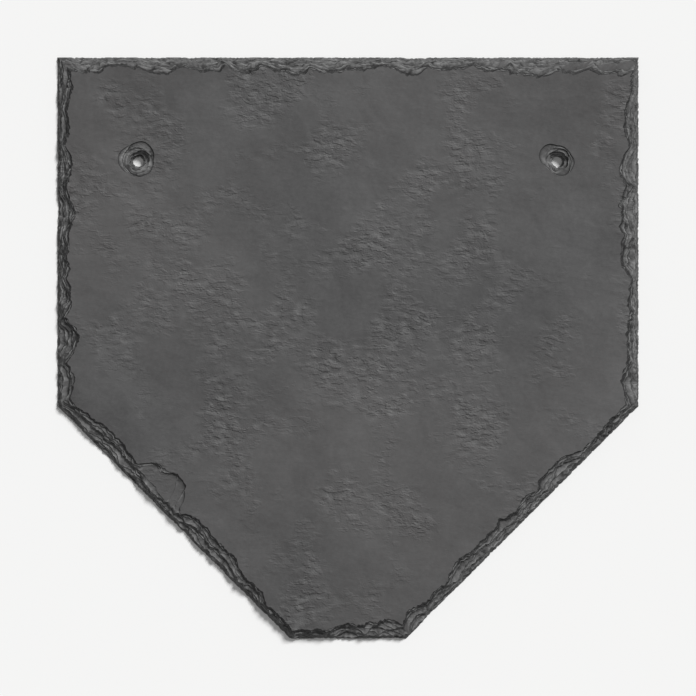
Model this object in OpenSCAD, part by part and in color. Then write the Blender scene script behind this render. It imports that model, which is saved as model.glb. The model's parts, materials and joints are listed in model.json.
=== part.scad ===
// Roofing slate with both lower corners cut off at 45 degrees, laid in a honeycomb pattern.
// One piece of split slate, lying on its bed (back) with the face up.
// The origin is at the middle of the bed, +Y points to the head and the tail is at -Y.

/* [Outline] */
// Width across the head and the sides
slate_width = 250; // [180:1:360]
// Length from the tail to the head
slate_length = 250; // [200:1:400]
// Width of the short straight tail left between the two cut corners
tail_width = 50; // [20:1:120]
// Height of the shoulders, where the cut corners meet the sides, above the tail
shoulder_height = 100; // [40:1:160]

/* [Thickness] */
// Thickness of the split slate
slate_thickness = 5; // [4:0.1:10]

/* [Dressed edge] */
// Reach of a typical flake scar across the face, inwards from the edge
flake_reach = 5.5; // [2:0.1:9]
// Length of a typical flake scar along the edge
flake_length = 32; // [16:1:60]
// Spacing of the knife blows along the edge
blow_pitch = 18; // [10:1:40]
// Height of the sharp edge that a typical blow leaves standing above the bed
edge_land = 1.4; // [0.4:0.1:3]
// Share by which the reach, length and land of the scars vary from blow to blow
flake_variation = 0.4; // [0:0.05:0.6]
// Seed that sets which scar is large and which is small
flake_seed = 11; // [1:1:99]

/* [Shallow flake] */
// Distance of the shallow flake from the left shoulder, along the cut corner
shallow_flake_place = 56; // [20:1:80]
// Length of the shallow flake along the edge
shallow_flake_length = 34; // [16:1:60]
// Reach of the shallow flake across the face, inwards from the edge
shallow_flake_reach = 15; // [6:0.5:25]
// Depth of the shallow flake at the edge
shallow_flake_depth = 0.9; // [0.3:0.1:2]

/* [Nail holes] */
// Diameter of the punched nail holes
nail_hole_d = 4; // [3:0.1:6]
// Distance of the nail holes from the sides
nail_side_inset = 35; // [20:1:60]
// Distance of the nail holes from the head
nail_head_inset = 45; // [20:1:80]
// Diameter on the face of the crater that the punch breaks out around a hole
crater_d = 11; // [7:0.5:20]
// Depth of that crater
crater_depth = 2; // [0.5:0.1:3]

/* [Hidden] */
$fn = 72;
slate_grey = [0.34, 0.34, 0.345];
// Extra length of a cutting tool past the surface that it starts from
overcut = 1;

// Corners of the slate, anticlockwise from the right end of the tail
tail_y = -slate_length / 2;
head_y = slate_length / 2;
side_x = slate_width / 2;
outline = [
    [tail_width / 2, tail_y],
    [side_x, tail_y + shoulder_height],
    [side_x, head_y],
    [-side_x, head_y],
    [-side_x, tail_y + shoulder_height],
    [-tail_width / 2, tail_y]
];

// One scar in the frame of its edge: X along the edge, Y into the slate, Z up from the bed.
// It is a piece of a sphere. The sphere cuts the face in an arc of the given length and reach,
// and leaves the edge at the height of the land.
module flake_scar(length, reach, land) {
    half_chord = length / 2;
    face_r = (pow(half_chord, 2) + pow(reach, 2)) / (2 * reach);
    centre_z = (pow(half_chord, 2) / (slate_thickness - land) + slate_thickness + land) / 2;
    translate([0, reach - face_r, centre_z])
        sphere(r = sqrt(pow(face_r, 2) + pow(centre_z - slate_thickness, 2)));
}

// The scars of all the knife blows along one straight edge, from one corner to the next
module dressed_edge(from, to, seed) {
    run = to - from;
    edge_length = norm(run);
    blows = max(1, round(edge_length / blow_pitch));
    vary = rands(-flake_variation, flake_variation, 3 * blows, seed);
    translate(from) rotate(atan2(run[1], run[0]))
        for (i = [0 : blows - 1])
            translate([edge_length * (i + 0.5) / blows, 0, 0])
                flake_scar(
                    length = flake_length * (1 + vary[3 * i]),
                    reach = flake_reach * (1 + vary[3 * i + 1]),
                    land = edge_land * (1 + vary[3 * i + 2])
                );
}

// A wide thin flake that one blow on the left cut corner lifted off the face
module shallow_flake() {
    left_shoulder = outline[4];
    cut = outline[5] - left_shoulder;
    translate(left_shoulder) rotate(atan2(cut[1], cut[0]))
        translate([shallow_flake_place, 0, 0])
            flake_scar(
                length = shallow_flake_length,
                reach = shallow_flake_reach,
                land = slate_thickness - shallow_flake_depth
            );
}

// A nail hole punched from the bed, which breaks a crater out of the face for the nail's head
module nail_hole() {
    translate([0, 0, -overcut])
        cylinder(d = nail_hole_d, h = slate_thickness + 2 * overcut);
    // The cone goes on past the face at its own slope
    slope = (crater_d - nail_hole_d) / crater_depth;
    translate([0, 0, slate_thickness - crater_depth])
        cylinder(d1 = nail_hole_d, d2 = crater_d + slope * overcut, h = crater_depth + overcut);
}

module slate() {
    color(slate_grey)
        difference() {
            linear_extrude(slate_thickness) polygon(outline);
            for (i = [0 : len(outline) - 1])
                dressed_edge(outline[i], outline[(i + 1) % len(outline)], flake_seed + i);
            shallow_flake();
            for (side = [-1, 1])
                translate([side * (side_x - nail_side_inset), head_y - nail_head_inset, 0])
                    nail_hole();
        }
}

slate();
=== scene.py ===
import json
import math

import bpy
import numpy as np
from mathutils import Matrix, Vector
from mathutils.bvhtree import BVHTree
from mathutils.geometry import delaunay_2d_cdt
from mathutils.kdtree import KDTree


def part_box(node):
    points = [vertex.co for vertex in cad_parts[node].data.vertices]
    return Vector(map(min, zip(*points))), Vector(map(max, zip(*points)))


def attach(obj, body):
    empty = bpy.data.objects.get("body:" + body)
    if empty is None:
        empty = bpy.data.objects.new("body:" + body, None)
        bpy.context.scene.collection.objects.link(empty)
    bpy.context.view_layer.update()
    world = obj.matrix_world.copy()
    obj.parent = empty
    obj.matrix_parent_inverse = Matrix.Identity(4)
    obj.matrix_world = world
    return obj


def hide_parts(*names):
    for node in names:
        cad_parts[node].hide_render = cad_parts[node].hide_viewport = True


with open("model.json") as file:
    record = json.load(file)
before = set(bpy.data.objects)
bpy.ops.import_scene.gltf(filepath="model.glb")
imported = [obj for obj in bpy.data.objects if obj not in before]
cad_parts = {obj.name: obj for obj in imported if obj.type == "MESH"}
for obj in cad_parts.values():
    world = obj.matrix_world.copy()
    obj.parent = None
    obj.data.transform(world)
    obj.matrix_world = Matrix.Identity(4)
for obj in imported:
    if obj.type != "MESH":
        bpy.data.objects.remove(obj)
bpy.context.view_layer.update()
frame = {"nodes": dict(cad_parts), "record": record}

# Slate
# One sheet of stone, split along its cleavage and cut to shape with a knife from its back.
# The blows shell flakes off the face side, so each edge is a rough bevel of broken layers,
# and each nail hole, punched from the back as well, opens into a small crater in the face.

mm = 0.001
solid = frame["nodes"]["slate"]
low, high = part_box("slate")
thickness = high.z - low.z
stone_seed = 7
draws = np.random.default_rng(stone_seed)

# Corners of the outline, anticlockwise from the right end of the tail
on_the_box = 0.01 * mm
tail_end = max(v.co.x for v in solid.data.vertices if v.co.y < low.y + on_the_box)
shoulder = min(v.co.y for v in solid.data.vertices if v.co.x > high.x - on_the_box)
corners = np.array([
    (tail_end, low.y),
    (high.x, shoulder),
    (high.x, high.y),
    (low.x, high.y),
    (low.x, shoulder),
    (-tail_end, low.y),
])


# Walks anticlockwise round the outline. The way into the stone is mitred at the corners.
def walk_outline(spacing):
    runs = np.roll(corners, -1, axis=0) - corners
    lengths = np.linalg.norm(runs, axis=1)
    inward = np.column_stack((-runs[:, 1], runs[:, 0])) / lengths[:, None]
    before = np.roll(inward, 1, axis=0)
    mitres = (before + inward) / (1 + np.sum(before * inward, axis=1))[:, None]
    places = []
    ways = []
    for i in range(len(corners)):
        steps = round(lengths[i] / spacing)
        share = np.arange(steps)[:, None] / steps
        places.append(corners[i] + share * runs[i])
        ways.append((1 - share) * mitres[i] + share * np.roll(mitres, -1, axis=0)[i])
    return np.concatenate(places), np.concatenate(ways)


# Walks clockwise round a nail hole, so that the stone is on the same hand as along the outline.
# All the ways start on the axis.
def walk_hole(centre, count):
    turn = -np.arange(count) * math.tau / count
    ways = np.column_stack((np.cos(turn), np.sin(turn)))
    return np.tile(centre, (count, 1)), ways


# The solid is felt with level rays, which find the shape of the flake scars and craters
run_up = 2 * mm
feeler = BVHTree.FromPolygons(
    [v.co for v in solid.data.vertices],
    [p.vertices for p in solid.data.polygons],
)


# Depth of the solid at each place and height, measured along the way into the stone
def depth_to_stone(places, ways, heights, ray_start):
    depths = []
    for place, way, height in zip(places, ways, heights):
        origin = Vector((*(place + ray_start * way), height))
        _, _, _, distance = feeler.ray_cast(origin, Vector((*way, 0)))
        depths.append(ray_start + distance / np.linalg.norm(way))
    return np.array(depths)


# Noise round a closed loop, of unit spread, with waves between two lengths
def loop_noise(count, spacing, longest, shortest):
    waves = np.fft.rfftfreq(count, spacing)
    band = (waves > 1 / longest) & (waves < 1 / shortest)
    phases = draws.normal(size=len(waves)) + 1j * draws.normal(size=len(waves))
    spectrum = np.where(band, phases / np.maximum(waves, 1 / longest), 0)
    noise = np.fft.irfft(spectrum, count)
    return noise / np.std(noise)


# Layers of the cleavage, from the bed to the face. Those next to the face come off as thin skins.
layer_count = 10
layer_variation = 0.5
skin_count = 3
skin_share = 0.35
layer_shares = 1 + draws.uniform(-layer_variation, layer_variation, layer_count)
layer_shares[-skin_count:] *= skin_share
layer_heights = thickness * layer_shares / np.sum(layer_shares)
layer_tops = np.cumsum(layer_heights)
layer_middles = layer_tops - layer_heights / 2

# Small chips: their spacing and size along the edge, and their reach into it
chip_pitch = 7 * mm
chip_half_length = (1.5 * mm, 8 * mm)
chip_reach = (0.3 * mm, 1.8 * mm)


# Extra depth of each layer where small chips came off with the flakes
def chip_depths(count, spacing):
    along = np.arange(count) * spacing
    total = count * spacing
    depths = np.zeros((layer_count, count))
    for _ in range(round(total / chip_pitch)):
        centre = draws.uniform(0, total)
        half_length = draws.uniform(*chip_half_length)
        reach = draws.uniform(*chip_reach)
        root = draws.uniform(0, thickness)
        gap = (along - centre + total / 2) % total - total / 2
        arc = np.sqrt(np.clip(1 - (gap / half_length) ** 2, 0, 1))
        rise = np.sqrt(np.clip((layer_middles - root) / (thickness - root), 0, 1))
        depths = np.maximum(depths, reach * rise[:, None] * arc)
    return depths


# Neighbouring layers break off in a few bundles, which drift up and down along the edge. A bundle
# has a steep front and leaves a wide tread. Where it changes, the break crosses from one to the
# next.
bundle_count = 3
bundle_hold = 0.92
bundle_change = 0.4
bundle_drift = 0.4
drift_waves = (150 * mm, 35 * mm)
# Least distance of a felt height from the bed and the face
felt_margin = 0.1 * mm


# Heights at which a layer's break is felt, drawn to the middle of the bundle that it is in
def bundled_heights(layer_middle, drift):
    level = bundle_count * layer_middle / thickness + drift
    change = np.clip((level % 1 - 1 + bundle_change) / bundle_change, 0, 1)
    bundle_level = np.floor(level) + change + (1 - bundle_change) / 2
    bundle_middle = thickness * (bundle_level - drift) / bundle_count
    heights = layer_middle + bundle_hold * (bundle_middle - layer_middle)
    return np.clip(heights, felt_margin, thickness - felt_margin)


# How far the break of a layer wanders from the scar, in long waves and in fine jags
break_loss = 0.35 * mm
break_waves = (30 * mm, 5 * mm)
jag_depth = 0.1 * mm
jag_waves = (4 * mm, 1 * mm)
# Share of the loss that the lowest layer has
loss_at_bed = 0.2
# The skins break with the bundle below them, except where a shallow flake lifted them far back,
# and lean more than the layers below
lifted_back = (1.5 * mm, 4 * mm)
skin_lean = 2.0
# Least width of a tread, waves of a riser's lean, and unevenness of a layer's height
tread_least = 0.03 * mm
lean_waves = (12 * mm, 1.5 * mm)
unevenness = 0.4
uneven_waves = (14 * mm, 2 * mm)


# Rings of points up a broken edge. Each layer has one at the foot of its riser and one at the top.
def broken_edge(places, ways, spacing, ray_start, drift, wander_depth, lean_limits):
    count = len(places)
    chips = chip_depths(count, spacing)
    rings = []
    least_depth = np.full(count, -np.inf)
    for k in range(layer_count):
        loss_share = loss_at_bed + (1 - loss_at_bed) * layer_middles[k] / thickness
        wander = wander_depth * loop_noise(count, spacing, *break_waves)
        jags = jag_depth * loop_noise(count, spacing, *jag_waves)
        loss = np.clip(loss_share * (break_loss + wander) + jags, 0, None)
        felt_heights = bundled_heights(layer_middles[k], drift)
        depth = depth_to_stone(places, ways, felt_heights, ray_start)
        is_skin = k >= layer_count - skin_count
        if is_skin:
            own_heights = np.full(count, layer_middles[k])
            own_depth = depth_to_stone(places, ways, own_heights, ray_start)
            depth += (own_depth - depth) * np.interp(own_depth - depth, lifted_back, (0, 1))
        depth = np.maximum(depth + chips[k] + loss, least_depth)
        lean_share = (1 + np.clip(loop_noise(count, spacing, *lean_waves), -1, 1)) / 2
        lean = layer_heights[k] * np.interp(lean_share, (0, 1), lean_limits)
        if is_skin:
            lean *= skin_lean
        least_depth = depth + lean + tread_least
        lift = unevenness * np.clip(loop_noise(count, spacing, *uneven_waves), 0, 1)
        drop = unevenness * np.clip(loop_noise(count, spacing, *uneven_waves), 0, 1)
        foot = layer_tops[k] - layer_heights[k] * (1 - lift * (k > 0))
        top = layer_tops[k] - layer_heights[k] * drop * (k < layer_count - 1)
        rings.append(np.column_stack((places + ways * depth[:, None], foot)))
        rings.append(np.column_stack((places + ways * (depth + lean)[:, None], top)))
    return rings


# A riser leans back by some share of its height, and hardly at all in a punched hole, where the
# breaks wander more
edge_spacing = 0.5 * mm
edge_wander = 0.45 * mm
edge_lean = (0.3, 0.9)
hole_points = 90
hole_drift = 0.2
hole_wander = 1.0 * mm
hole_lean = (0.03, 0.12)
bore_mounts = [m for m in frame["record"]["mounts"] if m["kind"] == "bore"]
outline_places, outline_ways = walk_outline(edge_spacing)
outline_drift = bundle_drift * loop_noise(len(outline_places), edge_spacing, *drift_waves)
breaks = [broken_edge(
    outline_places, outline_ways, edge_spacing, -run_up, outline_drift, edge_wander, edge_lean)]
for mount in bore_mounts:
    hole_spacing = math.tau * mount["dims"]["r_mm"] * mm / hole_points
    hole_places, hole_ways = walk_hole(mount["pos_m"][:2], hole_points)
    even_drift = np.full(hole_points, hole_drift)
    breaks.append(broken_edge(
        hole_places, hole_ways, hole_spacing, 0, even_drift, hole_wander, hole_lean))

# Points and faces of the whole slate. A riser or a narrow tread is marked as broken stone,
# and a wide tread as mostly split stone, because it lies along the cleavage.
tread_widths = (0.6 * mm, 2.2 * mm, 3.6 * mm)
tread_marks = (1.0, 0.7, 0.05)
# The inner corner behind a tread is painted dark with shade and dirt, the more the wider the tread
# is. This painted shade and dirt reaches about as far out onto a wide tread as onto one of this
# width.
crevice_widths = (0.1 * mm, 0.7 * mm)
crevice_shares = (0.5, 1.0)
shade_and_dirt_reach = 0.9 * mm
# The treads are crushed pale. The risers are painted dark as shade, less so where they stand well
# in front of the face, which also get less painted shade and dirt. The last break below the face
# stays darkest, as a painted shadow line.
dark_reach = (1.3 * mm, 2.4 * mm)
far_riser_paleness = 0.45
lower_shade_and_dirt = 0.6
no_ring = -1
points = []
ring_numbers = []
faces = []
broken_marks = []
crush_and_shade_marks = []
crevice_marks = []
fade_marks = []
foot_rims = []
face_rims = []


# Level distance between the points of two rings
def level_distance(first_ring, second_ring):
    return np.linalg.norm(second_ring[:, :2] - first_ring[:, :2], axis=1)


for rings in breaks:
    ring_size = len(rings[0])
    first_point = sum(len(block) for block in points)
    around = np.arange(ring_size)
    next_around = np.roll(around, -1)
    points.extend(rings)
    foot_rims.append(first_point + around)
    face_rims.append(first_point + (len(rings) - 1) * ring_size + around)
    setbacks = [level_distance(ring, rings[-1]) for ring in rings]
    for i in range(len(rings)):
        is_behind_tread = i % 2 == 0 and i > 0
        shade_and_dirt_share = np.zeros(ring_size)
        if is_behind_tread:
            tread_width = level_distance(rings[i - 1], rings[i])
            # Painted shade and dirt in the inner corner behind this tread
            shade_and_dirt_share = np.interp(tread_width, crevice_widths, crevice_shares)
            shade_and_dirt_share *= np.interp(setbacks[i], dark_reach, (1, lower_shade_and_dirt))
        crevice_marks.extend(shade_and_dirt_share)
        ring_numbers.extend([len(ring_numbers)] * ring_size)
    for i in range(len(rings) - 1):
        lower = first_point + i * ring_size + around
        lower_next = first_point + i * ring_size + next_around
        strip = np.column_stack((lower, lower_next, lower_next + ring_size, lower + ring_size))
        faces.extend(strip.tolist())
        strip_width = level_distance(rings[i], rings[i + 1])
        broken_marks.extend(np.interp(strip_width, tread_widths, tread_marks))
        fade_marks.extend(np.maximum(strip_width / shade_and_dirt_reach, 1))
        is_tread = i % 2 == 1
        if is_tread:
            crush_and_shade_marks.extend([1.0] * ring_size)
        else:
            # Risers near the face get no paleness, so they stay dark as painted shade
            crush_and_shade_marks.extend(np.interp(setbacks[i], dark_reach, (0, far_riser_paleness)))


# Tells which points lie inside a closed loop, by counting crossings
def inside_loop(tested, loop):
    inside = np.zeros(len(tested), bool)
    for (x0, y0), (x1, y1) in zip(loop, np.roll(loop, -1, axis=0)):
        if y0 != y1:
            spans = (y0 > tested[:, 1]) != (y1 > tested[:, 1])
            crossing = x0 + (tested[:, 1] - y0) * (x1 - x0) / (y1 - y0)
            inside ^= spans & (tested[:, 0] < crossing)
    return inside


# Share of the spacing by which the points of a split surface are shifted, and their least
# distance from its rims
jitter = 0.22
rim_clearance = 0.6


# Covers a split surface with even triangles between its outer rim and the rims of the holes
def cover_surface(rims, spacing, height, upwards):
    flat = np.concatenate(points)[:, :2]
    loops = [flat[rim] for rim in rims]
    row_spacing = spacing * math.sqrt(3) / 2
    grid_x, grid_y = np.meshgrid(
        np.arange(low.x, high.x, spacing),
        np.arange(low.y, high.y, row_spacing),
    )
    grid_x[1::2] += spacing / 2
    grid = np.column_stack((grid_x.ravel(), grid_y.ravel()))
    grid += draws.uniform(-jitter, jitter, grid.shape) * spacing
    kept = inside_loop(grid, loops[0])
    for loop in loops[1:]:
        kept &= ~inside_loop(grid, loop)
    rim_points = np.concatenate(loops)
    rim_tree = KDTree(len(rim_points))
    for i, (x, y) in enumerate(rim_points):
        rim_tree.insert((x, y, 0), i)
    rim_tree.balance()
    grid = grid[kept]
    is_clear = []
    for x, y in grid:
        _, _, rim_distance = rim_tree.find((x, y, 0))
        is_clear.append(rim_distance > rim_clearance * spacing)
    grid = grid[is_clear]

    sources = np.concatenate((*rims, len(flat) + np.arange(len(grid))))
    sites = np.concatenate((rim_points, grid))
    edges = []
    first = 0
    for loop in loops:
        edges.extend((first + i, first + (i + 1) % len(loop)) for i in range(len(loop)))
        first += len(loop)
    inner_triangles = 1
    merge_distance = 1e-9
    _, _, found_triangles, *_ = delaunay_2d_cdt(
        [Vector(site) for site in sites], edges, [], inner_triangles, merge_distance)
    triangles = np.array(found_triangles)
    middles = sites[triangles].mean(axis=1)
    is_stone = np.ones(len(triangles), bool)
    for loop in loops[1:]:
        is_stone &= ~inside_loop(middles, loop)
    triangles = triangles[is_stone]
    if not upwards:
        triangles = triangles[:, ::-1]
    points.append(np.column_stack((grid, np.full(len(grid), height))))
    crevice_marks.extend([0.0] * len(grid))
    ring_numbers.extend([no_ring] * len(grid))
    faces.extend(sources[triangles].tolist())
    broken_marks.extend([0.0] * len(triangles))
    crush_and_shade_marks.extend([0.0] * len(triangles))
    fade_marks.extend([1.0] * len(triangles))


face_spacing = 1.15 * mm
bed_spacing = 2.2 * mm
cover_surface(face_rims, face_spacing, thickness, upwards=True)
cover_surface(foot_rims, bed_spacing, 0, upwards=False)

slate_mesh = bpy.data.meshes.new("slate_stone")
slate_mesh.from_pydata(np.concatenate(points).tolist(), [], faces)
for name, domain, marks in (
    ("broken", "FACE", broken_marks),
    ("crushed", "FACE", crush_and_shade_marks),
    ("fade", "FACE", fade_marks),
    ("crevice", "POINT", crevice_marks),
):
    attribute = slate_mesh.attributes.new(name, "FLOAT", domain)
    attribute.data.foreach_set("value", marks)
slate_mesh.polygons.foreach_set("use_smooth", [True] * len(slate_mesh.polygons))
# The rings are the corners of the broken layers, so the shading turns sharply there
ends = np.empty(2 * len(slate_mesh.edges), int)
slate_mesh.edges.foreach_get("vertices", ends)
ring_at_start, ring_at_end = np.array(ring_numbers)[ends.reshape(-1, 2)].T
is_corner = (ring_at_start == ring_at_end) & (ring_at_start != no_ring)
slate_mesh.edges.foreach_set("use_edge_sharp", is_corner)
slate = bpy.data.objects.new("slate_stone", slate_mesh)
bpy.context.scene.collection.objects.link(slate)


# Joins a socket to another node's output, or sets it to a plain value
def feed(tree, socket, value):
    if isinstance(value, bpy.types.NodeSocket):
        tree.links.new(value, socket)
    else:
        socket.default_value = value


# Output of a maths node, with its inputs fed in order
def maths(tree, operation, *values):
    node = tree.nodes.new("ShaderNodeMath")
    node.operation = operation
    for socket, value in zip(node.inputs, values):
        feed(tree, socket, value)
    return node.outputs[0]


# Place of a value between two limits, from 0 to 1
def between(tree, value, least, most):
    node = tree.nodes.new("ShaderNodeMapRange")
    feed(tree, node.inputs["Value"], value)
    feed(tree, node.inputs["From Min"], least)
    feed(tree, node.inputs["From Max"], most)
    return node.outputs["Result"]


# Three parts joined to a vector
def vector_of(tree, *parts):
    node = tree.nodes.new("ShaderNodeCombineXYZ")
    for socket, part in zip(node.inputs, parts):
        feed(tree, socket, part)
    return node.outputs[0]


# The three parts of the place of a point
def point_place(tree):
    node = tree.nodes.new("ShaderNodeSeparateXYZ")
    feed(tree, node.inputs[0], tree.nodes.new("GeometryNodeInputPosition").outputs[0])
    return node.outputs


# Middle range of a noise, in which most of its values lie
noise_middle = (0.28, 0.72)


# Noise from 0 to 1, with its middle range spread over the whole
def noise(tree, vector, size, detail=2.0, roughness=0.5, distortion=0.0, spread=noise_middle):
    node = tree.nodes.new("ShaderNodeTexNoise")
    size_is_linked = isinstance(size, bpy.types.NodeSocket)
    scale = maths(tree, "DIVIDE", 1.0, size) if size_is_linked else 1 / size
    feed(tree, node.inputs["Vector"], vector)
    feed(tree, node.inputs["Scale"], scale)
    feed(tree, node.inputs["Detail"], detail)
    feed(tree, node.inputs["Roughness"], roughness)
    feed(tree, node.inputs["Distortion"], distortion)
    return between(tree, node.outputs["Fac"], *spread)


# Relief of a split surface, as the depth of stone missing at each point: a slow undulation, dents,
# thin layers that end in low steps, and patches where small thin flecks came off
relief_sizes = {
    "Undulation Depth": 0.45 * mm,
    "Undulation Size": 36 * mm,
    "Dent Depth": 0.24 * mm,
    "Dent Size": 10 * mm,
    "Step Depth": 0.09 * mm,
    "Step Size": 46 * mm,
    "Fleck Depth": 0.44 * mm,
    "Fleck Size": 2.4 * mm,
    "Patch Size": 26 * mm,
}
relief = bpy.data.node_groups.new("split_relief", "GeometryNodeTree")
for name in ("Seed", *relief_sizes):
    relief.interface.new_socket(name, in_out="INPUT", socket_type="NodeSocketFloat")
for name in ("Depth", "Layer", "Patch", "Fleck"):
    relief.interface.new_socket(name, in_out="OUTPUT", socket_type="NodeSocketFloat")
relief_given = relief.nodes.new("NodeGroupInput").outputs
across, along, _ = point_place(relief)
plan = vector_of(relief, across, along, relief_given["Seed"])
# The flecks are drawn out across the slate, in the direction of the stone's grain
grain_stretch = 0.42
stretched = maths(relief, "MULTIPLY", across, grain_stretch)
drawn_out = vector_of(relief, stretched, along, relief_given["Seed"])

undulation = noise(relief, plan, relief_given["Undulation Size"], detail=1.0)
dents = noise(relief, plan, relief_given["Dent Size"], detail=2.0)
step_count = 5
step_softness = 0.07
slope = noise(relief, plan, relief_given["Step Size"], detail=4.0, distortion=0.5)
climb = maths(relief, "MULTIPLY", slope, step_count)
whole_steps = maths(relief, "FLOOR", climb)
part_step = between(relief, maths(relief, "FRACT", climb), 1 - step_softness, 1.0)
step_level = maths(relief, "ADD", whole_steps, part_step)
patch_edge = (0.47, 0.66)
fleck_edge = (0.5, 0.62)
patches = noise(relief, plan, relief_given["Patch Size"], detail=3.0, spread=patch_edge)
fleck_field = noise(relief, drawn_out, relief_given["Fleck Size"], detail=1.0, spread=fleck_edge)
flecks = maths(relief, "MULTIPLY", fleck_field, patches)
relief_depth = maths(relief, "MULTIPLY", undulation, relief_given["Undulation Depth"])
for shape, depth_name in ((dents, "Dent Depth"), (step_level, "Step Depth"), (flecks, "Fleck Depth")):
    shape_depth = maths(relief, "MULTIPLY", shape, relief_given[depth_name])
    relief_depth = maths(relief, "ADD", relief_depth, shape_depth)
bared_layer = maths(relief, "DIVIDE", step_level, step_count)
returned = relief.nodes.new("NodeGroupOutput").inputs
relief.links.new(relief_depth, returned["Depth"])
relief.links.new(bared_layer, returned["Layer"])
relief.links.new(patches, returned["Patch"])
relief.links.new(flecks, returned["Fleck"])

# The tree that gives the slate its two split surfaces. It lowers the face and raises the bed, which
# is smoother, and everything between them in proportion, so the broken layers follow along. The face
# rises a little first, so that its highest places stay close to the face of the solid.
split_sizes = {
    "Thickness": thickness,
    "Face Seed": 3.0,
    "Bed Seed": 8.0,
    "Bed Share": 0.2,
    "Face Rise": 0.1 * mm,
    **relief_sizes,
}
split = bpy.data.node_groups.new("split_slate", "GeometryNodeTree")
split.interface.new_socket("Geometry", in_out="INPUT", socket_type="NodeSocketGeometry")
split.interface.new_socket("Stone", in_out="INPUT", socket_type="NodeSocketMaterial")
for name in split_sizes:
    split.interface.new_socket(name, in_out="INPUT", socket_type="NodeSocketFloat")
split.interface.new_socket("Geometry", in_out="OUTPUT", socket_type="NodeSocketGeometry")
split_given = split.nodes.new("NodeGroupInput").outputs


# Relief of one split surface, which differs from the other by its seed
def relief_of(seed_name):
    node = split.nodes.new("GeometryNodeGroup")
    node.node_tree = relief
    split.links.new(split_given[seed_name], node.inputs["Seed"])
    for name in relief_sizes:
        split.links.new(split_given[name], node.inputs[name])
    return node.outputs


face_relief = relief_of("Face Seed")
bed_relief = relief_of("Bed Seed")
across, along, height = point_place(split)
share_up = maths(split, "DIVIDE", height, split_given["Thickness"])
bed_depth = maths(split, "MULTIPLY", bed_relief["Depth"], split_given["Bed Share"])
face_depth = maths(split, "SUBTRACT", face_relief["Depth"], split_given["Face Rise"])
lost = maths(split, "ADD", face_depth, bed_depth)
left = maths(split, "SUBTRACT", split_given["Thickness"], lost)
new_height = maths(split, "MULTIPLY_ADD", share_up, left, bed_depth)
new_place = vector_of(split, across, along, new_height)
# The marks of the relief pass over from those of the bed to those of the face
marked_mesh = split_given["Geometry"]
for mark in ("Layer", "Patch", "Fleck"):
    bed_to_face = maths(split, "SUBTRACT", face_relief[mark], bed_relief[mark])
    mark_here = maths(split, "MULTIPLY_ADD", share_up, bed_to_face, bed_relief[mark])
    store = split.nodes.new("GeometryNodeStoreNamedAttribute")
    store.inputs["Name"].default_value = mark.lower()
    split.links.new(marked_mesh, store.inputs["Geometry"])
    split.links.new(mark_here, store.inputs["Value"])
    marked_mesh = store.outputs["Geometry"]
moved = split.nodes.new("GeometryNodeSetPosition")
split.links.new(marked_mesh, moved.inputs["Geometry"])
split.links.new(new_place, moved.inputs["Position"])
realized = split.nodes.new("GeometryNodeRealizeInstances")
split.links.new(moved.outputs["Geometry"], realized.inputs["Geometry"])
finished = split.nodes.new("GeometryNodeSetMaterial")
split.links.new(realized.outputs["Geometry"], finished.inputs["Geometry"])
split.links.new(split_given["Stone"], finished.inputs["Material"])
split_result = split.nodes.new("NodeGroupOutput").inputs
split.links.new(finished.outputs["Geometry"], split_result["Geometry"])

# Stone of the slate: a neutral dark grey in faint clouds and mottles, a little warm in places.
# Broken stone is streaked along the layers, lighter where it is crushed, with painted shade on its
# risers and painted shade and dirt in its inner corners.
stone_dark = (0.036, 0.036, 0.0365, 1.0)
stone_light = (0.116, 0.116, 0.117, 1.0)
stone_warm = (0.083, 0.077, 0.075, 1.0)
stone_fleck = (0.160, 0.160, 0.160, 1.0)
# The darkest broken colour, which also paints the risers dark as shade
broken_dark = (0.013, 0.013, 0.0131, 1.0)
broken_light = (0.215, 0.215, 0.215, 1.0)
# Colour of the painted shade and dirt in the inner corners of the broken layers
crevice_shade_and_dirt = (0.008, 0.008, 0.008, 1.0)
worn_light = (0.340, 0.340, 0.338, 1.0)
stone_specular = 0.25

stone = bpy.data.materials.new("riven_slate")
stone.use_nodes = True
stone_tree = stone.node_tree
shader = stone_tree.nodes["Principled BSDF"]
shader.inputs["Specular IOR Level"].default_value = stone_specular
place = stone_tree.nodes.new("ShaderNodeTexCoord").outputs["Object"]


# Value of a mark that the mesh carries
def marked(name):
    node = stone_tree.nodes.new("ShaderNodeAttribute")
    node.attribute_name = name
    return node.outputs["Fac"]


# The places of the colour sockets on a mix node
first_colour = 6
second_colour = 7
mixed_colour = 2


# Mix of two colours
def mix(factor, first, second):
    node = stone_tree.nodes.new("ShaderNodeMix")
    node.data_type = "RGBA"
    feed(stone_tree, node.inputs["Factor"], factor)
    feed(stone_tree, node.inputs[first_colour], first)
    feed(stone_tree, node.inputs[second_colour], second)
    return node.outputs[mixed_colour]


# Sum of values, each given with its share
def weighted_sum(*parts):
    total = maths(stone_tree, "MULTIPLY", *parts[0])
    for part in parts[1:]:
        total = maths(stone_tree, "MULTIPLY_ADD", *part, total)
    return total


# Split stone. The tone is made up of clouds, mottles and specks, and of the layer that is laid bare.
cloud_size = 80 * mm
cloud_share = 0.38
mottle_size = 11 * mm
mottle_share = 0.25
speck_size = 1.6 * mm
speck_share = 0.2
layer_share = 0.2
clouds = noise(stone_tree, place, cloud_size)
mottles = noise(stone_tree, place, mottle_size, detail=4.0, roughness=0.6)
specks = noise(stone_tree, place, speck_size, detail=3.0, roughness=0.6)
tone = weighted_sum(
    (clouds, cloud_share),
    (mottles, mottle_share),
    (specks, speck_share),
    (marked("layer"), layer_share),
)
warm_size = 130 * mm
warm_most = 0.35
warmth = maths(stone_tree, "MULTIPLY", noise(stone_tree, place, warm_size), warm_most)
split_colour = mix(warmth, mix(tone, stone_dark, stone_light), stone_warm)
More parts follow.
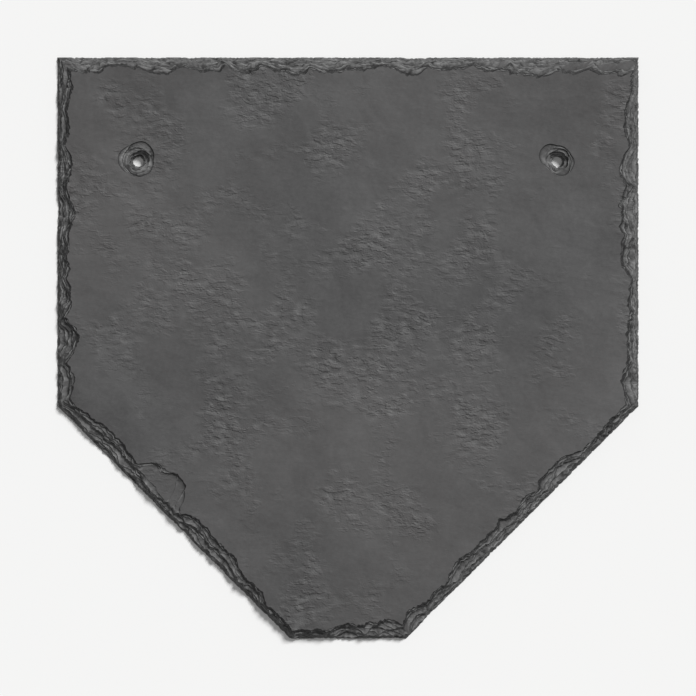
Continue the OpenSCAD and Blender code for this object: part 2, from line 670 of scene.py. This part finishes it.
# The stone is fresher and paler where a fleck came off
fleck_most = 0.36
fresh = maths(stone_tree, "MULTIPLY", marked("fleck"), fleck_most)
split_colour = mix(fresh, split_colour, stone_fleck)

# Broken stone. The streaks are squeezed flat, so that they run along the layers, and are pale on the
# crushed treads more than on the risers, which are painted dark as shade.
streak_size = 5 * mm
layer_squeeze = 14.0
streak_edge = (0.36, 0.64)
riser_paleness = 0.04
broken_here = marked("broken")
flattened = stone_tree.nodes.new("ShaderNodeMapping")
flattened.inputs["Scale"].default_value = (1.0, 1.0, layer_squeeze)
stone_tree.links.new(place, flattened.inputs["Vector"])
streaks = noise(
    stone_tree, flattened.outputs[0], streak_size, detail=5.0, roughness=0.65, spread=streak_edge)
# Risers are painted dark as shade, most of all the last break below the face, while the treads are
# crushed pale
paleness = maths(stone_tree, "MULTIPLY_ADD", marked("crushed"), 1 - riser_paleness, riser_paleness)
pale_streaks = maths(stone_tree, "MULTIPLY", streaks, paleness)
broken_colour = mix(pale_streaks, broken_dark, broken_light)
# The inner corners of the broken layers are painted dark with shade and dirt, and their outer corners
# are worn light
crevice_sharpness = 1.1
crevice_most = 0.97
worn_sharpness = 4.0
worn_most = 0.45
in_crevice = marked("crevice")
shade_and_dirt_fade = maths(stone_tree, "MULTIPLY", marked("fade"), crevice_sharpness)
# Painted shade and dirt, strongest at each inner corner and fading out over the tread
painted_shade_and_dirt = maths(stone_tree, "MULTIPLY", maths(stone_tree, "POWER", in_crevice, shade_and_dirt_fade), crevice_most)
on_corner = maths(stone_tree, "SUBTRACT", 1.0, in_crevice)
wear = maths(stone_tree, "MULTIPLY", maths(stone_tree, "POWER", on_corner, worn_sharpness), worn_most)
broken_colour = mix(maths(stone_tree, "MULTIPLY", wear, pale_streaks), broken_colour, worn_light)
stone_colour = mix(broken_here, split_colour, broken_colour)
stone_tree.links.new(mix(painted_shade_and_dirt, stone_colour, crevice_shade_and_dirt), shader.inputs["Base Color"])

roughness_least = 0.58
roughness_range = 0.08
broken_roughness = 0.12
split_roughness = maths(stone_tree, "MULTIPLY_ADD", mottles, roughness_range, roughness_least)
roughness = maths(stone_tree, "MULTIPLY_ADD", broken_here, broken_roughness, split_roughness)
stone_tree.links.new(roughness, shader.inputs["Roughness"])

# Fine grain that is too small for the mesh, with small crisp flecks that are drawn out across the
# slate like the larger ones. It is faint between the patches of flecks.
grain_depth = 0.34 * mm
grain_between = 0.08
coarse_size = 1.7 * mm
coarse_share = 0.7
coarse_edge = (0.5, 0.62)
coarse_stretch = 0.5
fine_size = 0.6 * mm
fine_share = 0.3
drawn_here = stone_tree.nodes.new("ShaderNodeMapping")
drawn_here.inputs["Scale"].default_value = (coarse_stretch, 1.0, 1.0)
stone_tree.links.new(place, drawn_here.inputs["Vector"])
coarse = noise(stone_tree, drawn_here.outputs[0], coarse_size, spread=coarse_edge)
grain = weighted_sum(
    (coarse, coarse_share),
    (noise(stone_tree, place, fine_size), fine_share),
)
grain_share = maths(stone_tree, "MULTIPLY_ADD", marked("patch"), 1 - grain_between, grain_between)
bump = stone_tree.nodes.new("ShaderNodeBump")
bump.inputs["Distance"].default_value = grain_depth
stone_tree.links.new(maths(stone_tree, "MULTIPLY", grain, grain_share), bump.inputs["Height"])
stone_tree.links.new(bump.outputs["Normal"], shader.inputs["Normal"])

# The relief is worked into the mesh, and its tree comes off again
modifier = slate.modifiers.new("split", "NODES")
modifier.node_group = split
split_values = {**split_sizes, "Stone": stone}
for item in split.interface.items_tree:
    if item.in_out == "INPUT" and item.name in split_values:
        modifier[item.identifier] = split_values[item.name]
scene_state = bpy.context.evaluated_depsgraph_get()
slate.data = bpy.data.meshes.new_from_object(
    slate.evaluated_get(scene_state),
    preserve_all_data_layers=True,
    depsgraph=scene_state,
)
slate.modifiers.remove(modifier)
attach(slate, "root")
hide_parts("slate")

# Floor
# A plain pale sheet with a matt paint, wide enough to fill the view from any side.
# The slate lies loose on it, with a hair of room below, so that the two surfaces never meet.
floor_half = 4.0
floor_drop = 0.1 * mm
floor_colour = (0.92, 0.92, 0.915, 1.0)
floor_roughness = 0.9
floor_specular = 0.0
floor_mesh = bpy.data.meshes.new("floor")
floor_height = low.z - floor_drop
floor_corners = [
    (-floor_half, -floor_half, floor_height),
    (floor_half, -floor_half, floor_height),
    (floor_half, floor_half, floor_height),
    (-floor_half, floor_half, floor_height),
]
floor_mesh.from_pydata(floor_corners, [], [range(len(floor_corners))])
floor = bpy.data.objects.new("floor", floor_mesh)
bpy.context.scene.collection.objects.link(floor)
floor_paint = bpy.data.materials.new("floor_paint")
floor_paint.use_nodes = True
floor_shader = floor_paint.node_tree.nodes["Principled BSDF"]
floor_shader.inputs["Base Color"].default_value = floor_colour
floor_shader.inputs["Roughness"].default_value = floor_roughness
floor_shader.inputs["Specular IOR Level"].default_value = floor_specular
floor_mesh.materials.append(floor_paint)

# Light
# A far soft lamp to the upper right of the picture, and an even pale surround that fills the shadows.
# Together they light a level surface so that a colour renders about as it is written.
key_place = Vector((1.06, 1.52, 1.35))
key_spread = math.radians(15)
key_strength = 3.85
key = bpy.data.lights.new("key", "SUN")
key.angle = key_spread
key.energy = key_strength
key_lamp = bpy.data.objects.new("key", key)
key_lamp.location = key_place
key_lamp.rotation_mode = "QUATERNION"
key_lamp.rotation_quaternion = (-key_place).to_track_quat("-Z", "Y")
bpy.context.scene.collection.objects.link(key_lamp)

surround_light = 0.27
surround_seen = 0.93
surround_colour = (1.0, 1.0, 1.0, 1.0)
world = bpy.data.worlds.new("surround")
world.use_nodes = True
bpy.context.scene.world = world
surround = world.node_tree
rays = surround.nodes.new("ShaderNodeLightPath").outputs
seen = maths(surround, "MAXIMUM", rays["Is Camera Ray"], rays["Is Glossy Ray"])
seen = maths(surround, "MAXIMUM", seen, rays["Is Transmission Ray"])
strength = maths(surround, "MULTIPLY_ADD", seen, surround_seen - surround_light, surround_light)
background = surround.nodes["Background"]
background.inputs["Color"].default_value = surround_colour
surround.links.new(strength, background.inputs["Strength"])
bpy.context.scene.view_settings.view_transform = "Standard"

# Camera
# It looks straight down on the face, with the head of the slate at the top of the picture.
lens = 100.0
share_of_frame = 0.84
camera_data = bpy.data.cameras.new("camera")
camera_data.lens = lens
camera = bpy.data.objects.new("camera", camera_data)
half_frame = camera_data.sensor_width / (2 * lens)
camera.location = (0, 0, high.z + (high.y - low.y) / (2 * share_of_frame * half_frame))
bpy.context.scene.collection.objects.link(camera)
bpy.context.scene.camera = camera
